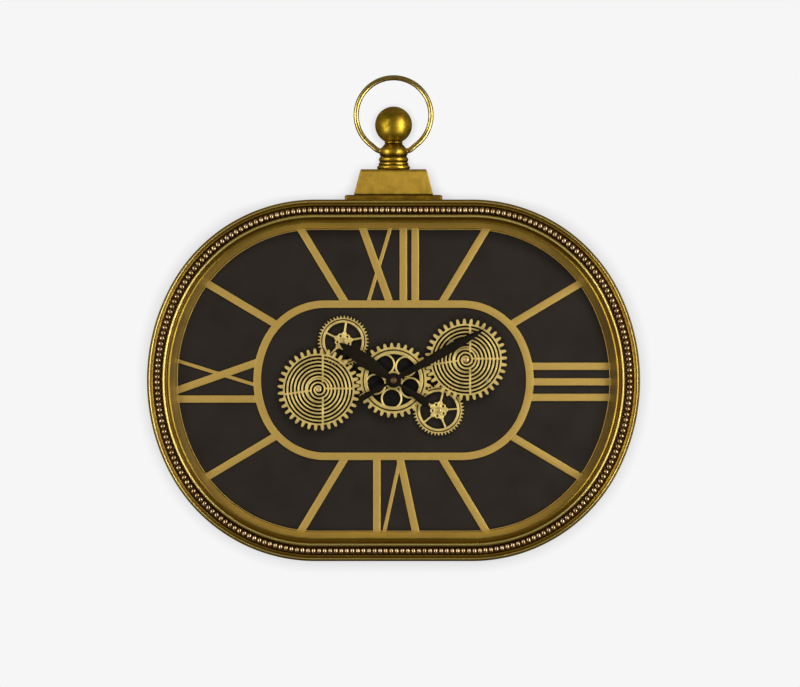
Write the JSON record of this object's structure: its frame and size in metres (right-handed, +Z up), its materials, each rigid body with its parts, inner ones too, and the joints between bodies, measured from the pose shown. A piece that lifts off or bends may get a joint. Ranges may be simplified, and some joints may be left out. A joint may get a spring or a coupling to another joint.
{
  "type": "gear clock",
  "caption": "Wide oval wall clock like a pocket watch: beaded gold frame, cut-out Roman numerals, open turning gears, black hands, finial with a hinged bow.",
  "frame": {"origin": "the hook's seat at the top of the keyhole hanger, on the plane of the wall", "axes": "+X to the viewer's right, +Y into the wall, +Z up; the dial faces -Y"},
  "size_m": [0.6, 0.0691, 0.5951],
  "materials": {
    "antique_gold_frame": "moulded resin with rubbed antique gold paint, dark in the grooves",
    "gold_case": "antique gold paint on sheet steel",
    "gold_finial": "antiqued brass, dark in the grooves",
    "dial_black": "board painted satin black",
    "gold_numerals": "cut sheet with satin pale gold paint",
    "gold_gears": "cut sheet, satin pale gold",
    "black_wheel": "matt black",
    "black_hands": "satin black",
    "brown_nut": "browned brass",
    "dark_plate": "dark bronze paint",
    "back_board": "hardboard painted matt black",
    "steel": "zinc plated",
    "turned_brass": "turned brass",
    "black_plastic": "moulded, fine texture",
    "cell_wrap": "plain sleeve"
  },
  "bodies": {
    "case": {"bezel_frame": "antique_gold_frame", "bead_string": "antique_gold_frame", "case_band_upper": "gold_case", "case_band_lower": "gold_case", "back_flange": "gold_case", "dial_board": "dial_black", "numeral_plate": "gold_numerals", "back_panel": "back_board", "back_screw_1": "steel", "back_screw_2": "steel", "back_screw_3": "steel", "back_screw_4": "steel", "back_screw_5": "steel", "back_screw_6": "steel", "hanger_plate": "steel", "hanger_screw_left": "steel", "hanger_screw_right": "steel", "finial_plate": "dark_plate", "finial_pedestal": "gold_finial", "finial_neck": "gold_finial", "finial_ball": "gold_finial", "finial_stud": "steel", "finial_nut": "steel", "movement_case": "black_plastic", "movement_cover": "black_plastic", "movement_battery": "cell_wrap", "dial_nut": "turned_brass", "left_bush": "turned_brass", "right_bush": "turned_brass", "upper_bush": "turned_brass", "lower_bush": "turned_brass", "drive_case": "black_plastic", "drive_cover": "black_plastic", "drive_battery_1": "cell_wrap", "drive_battery_2": "cell_wrap", "drive_screw_1": "steel", "drive_screw_2": "steel"},
    "bow": {"bow": "gold_finial"},
    "minute_train": {"minute_arbor": "turned_brass", "minute_hand": "black_hands", "hand_nut": "brown_nut"},
    "hour_train": {"hour_tube": "turned_brass", "hour_hand": "black_hands"},
    "setting_knob": {"setting_knob": "black_plastic"},
    "centre_train": {"centre_gear": "gold_gears", "centre_transfer_wheel": "black_wheel", "centre_sleeve": "turned_brass"},
    "left_train": {"left_gear": "gold_gears", "left_transfer_wheel": "black_wheel", "left_arbor": "turned_brass"},
    "right_train": {"right_gear": "gold_gears", "right_arbor": "turned_brass"},
    "upper_train": {"upper_gear": "gold_gears", "upper_arbor": "turned_brass"},
    "lower_train": {"lower_gear": "gold_gears", "lower_arbor": "turned_brass"},
    "switch_slider": {"switch_slider": "black_plastic"}
  },
  "joints": [
    {"name": "bow_swing", "type": "hinge", "parent": "case", "child": "bow", "pos_m": [0, -0.024, 0.1117], "axis": [1, 0, 0], "range_deg": [-12, 90]},
    {"name": "minute_turn", "type": "hinge", "parent": "case", "child": "minute_train", "pos_m": [0, -0.05, -0.17], "axis": [0, 1, 0], "continuous": true},
    {"name": "hour_turn", "type": "hinge", "parent": "case", "child": "hour_train", "pos_m": [0, -0.05, -0.17], "axis": [0, 1, 0], "continuous": true},
    {"name": "knob_turn", "type": "hinge", "parent": "case", "child": "setting_knob", "pos_m": [-0.014, -0.02, -0.16], "axis": [0, 1, 0], "continuous": true},
    {"name": "centre_turn", "type": "hinge", "parent": "case", "child": "centre_train", "pos_m": [0, -0.05, -0.17], "axis": [0, 1, 0], "continuous": true},
    {"name": "left_turn", "type": "hinge", "parent": "case", "child": "left_train", "pos_m": [-0.09112, -0.05, -0.18119], "axis": [0, 1, 0], "continuous": true},
    {"name": "right_turn", "type": "hinge", "parent": "case", "child": "right_train", "pos_m": [0.08829, -0.05, -0.14485], "axis": [0, 1, 0], "continuous": true},
    {"name": "upper_turn", "type": "hinge", "parent": "case", "child": "upper_train", "pos_m": [-0.06127, -0.05, -0.12237], "axis": [0, 1, 0], "continuous": true},
    {"name": "lower_turn", "type": "hinge", "parent": "case", "child": "lower_train", "pos_m": [0.05494, -0.05, -0.2065], "axis": [0, 1, 0], "continuous": true},
    {"name": "switch_slide", "type": "slide", "parent": "case", "child": "switch_slider", "axis": [1, 0, 0], "range_m": [0, 0.004]}
  ],
  "couplings": [
    {"joint": "hour_turn", "follows": "minute_turn", "ratio": 0.083333},
    {"joint": "knob_turn", "follows": "minute_turn", "ratio": -0.33333},
    {"joint": "left_turn", "follows": "centre_turn", "ratio": -0.88889},
    {"joint": "right_turn", "follows": "centre_turn", "ratio": -0.88889},
    {"joint": "upper_turn", "follows": "centre_turn", "ratio": 1.0707},
    {"joint": "lower_turn", "follows": "centre_turn", "ratio": -1.2045}
  ]
}
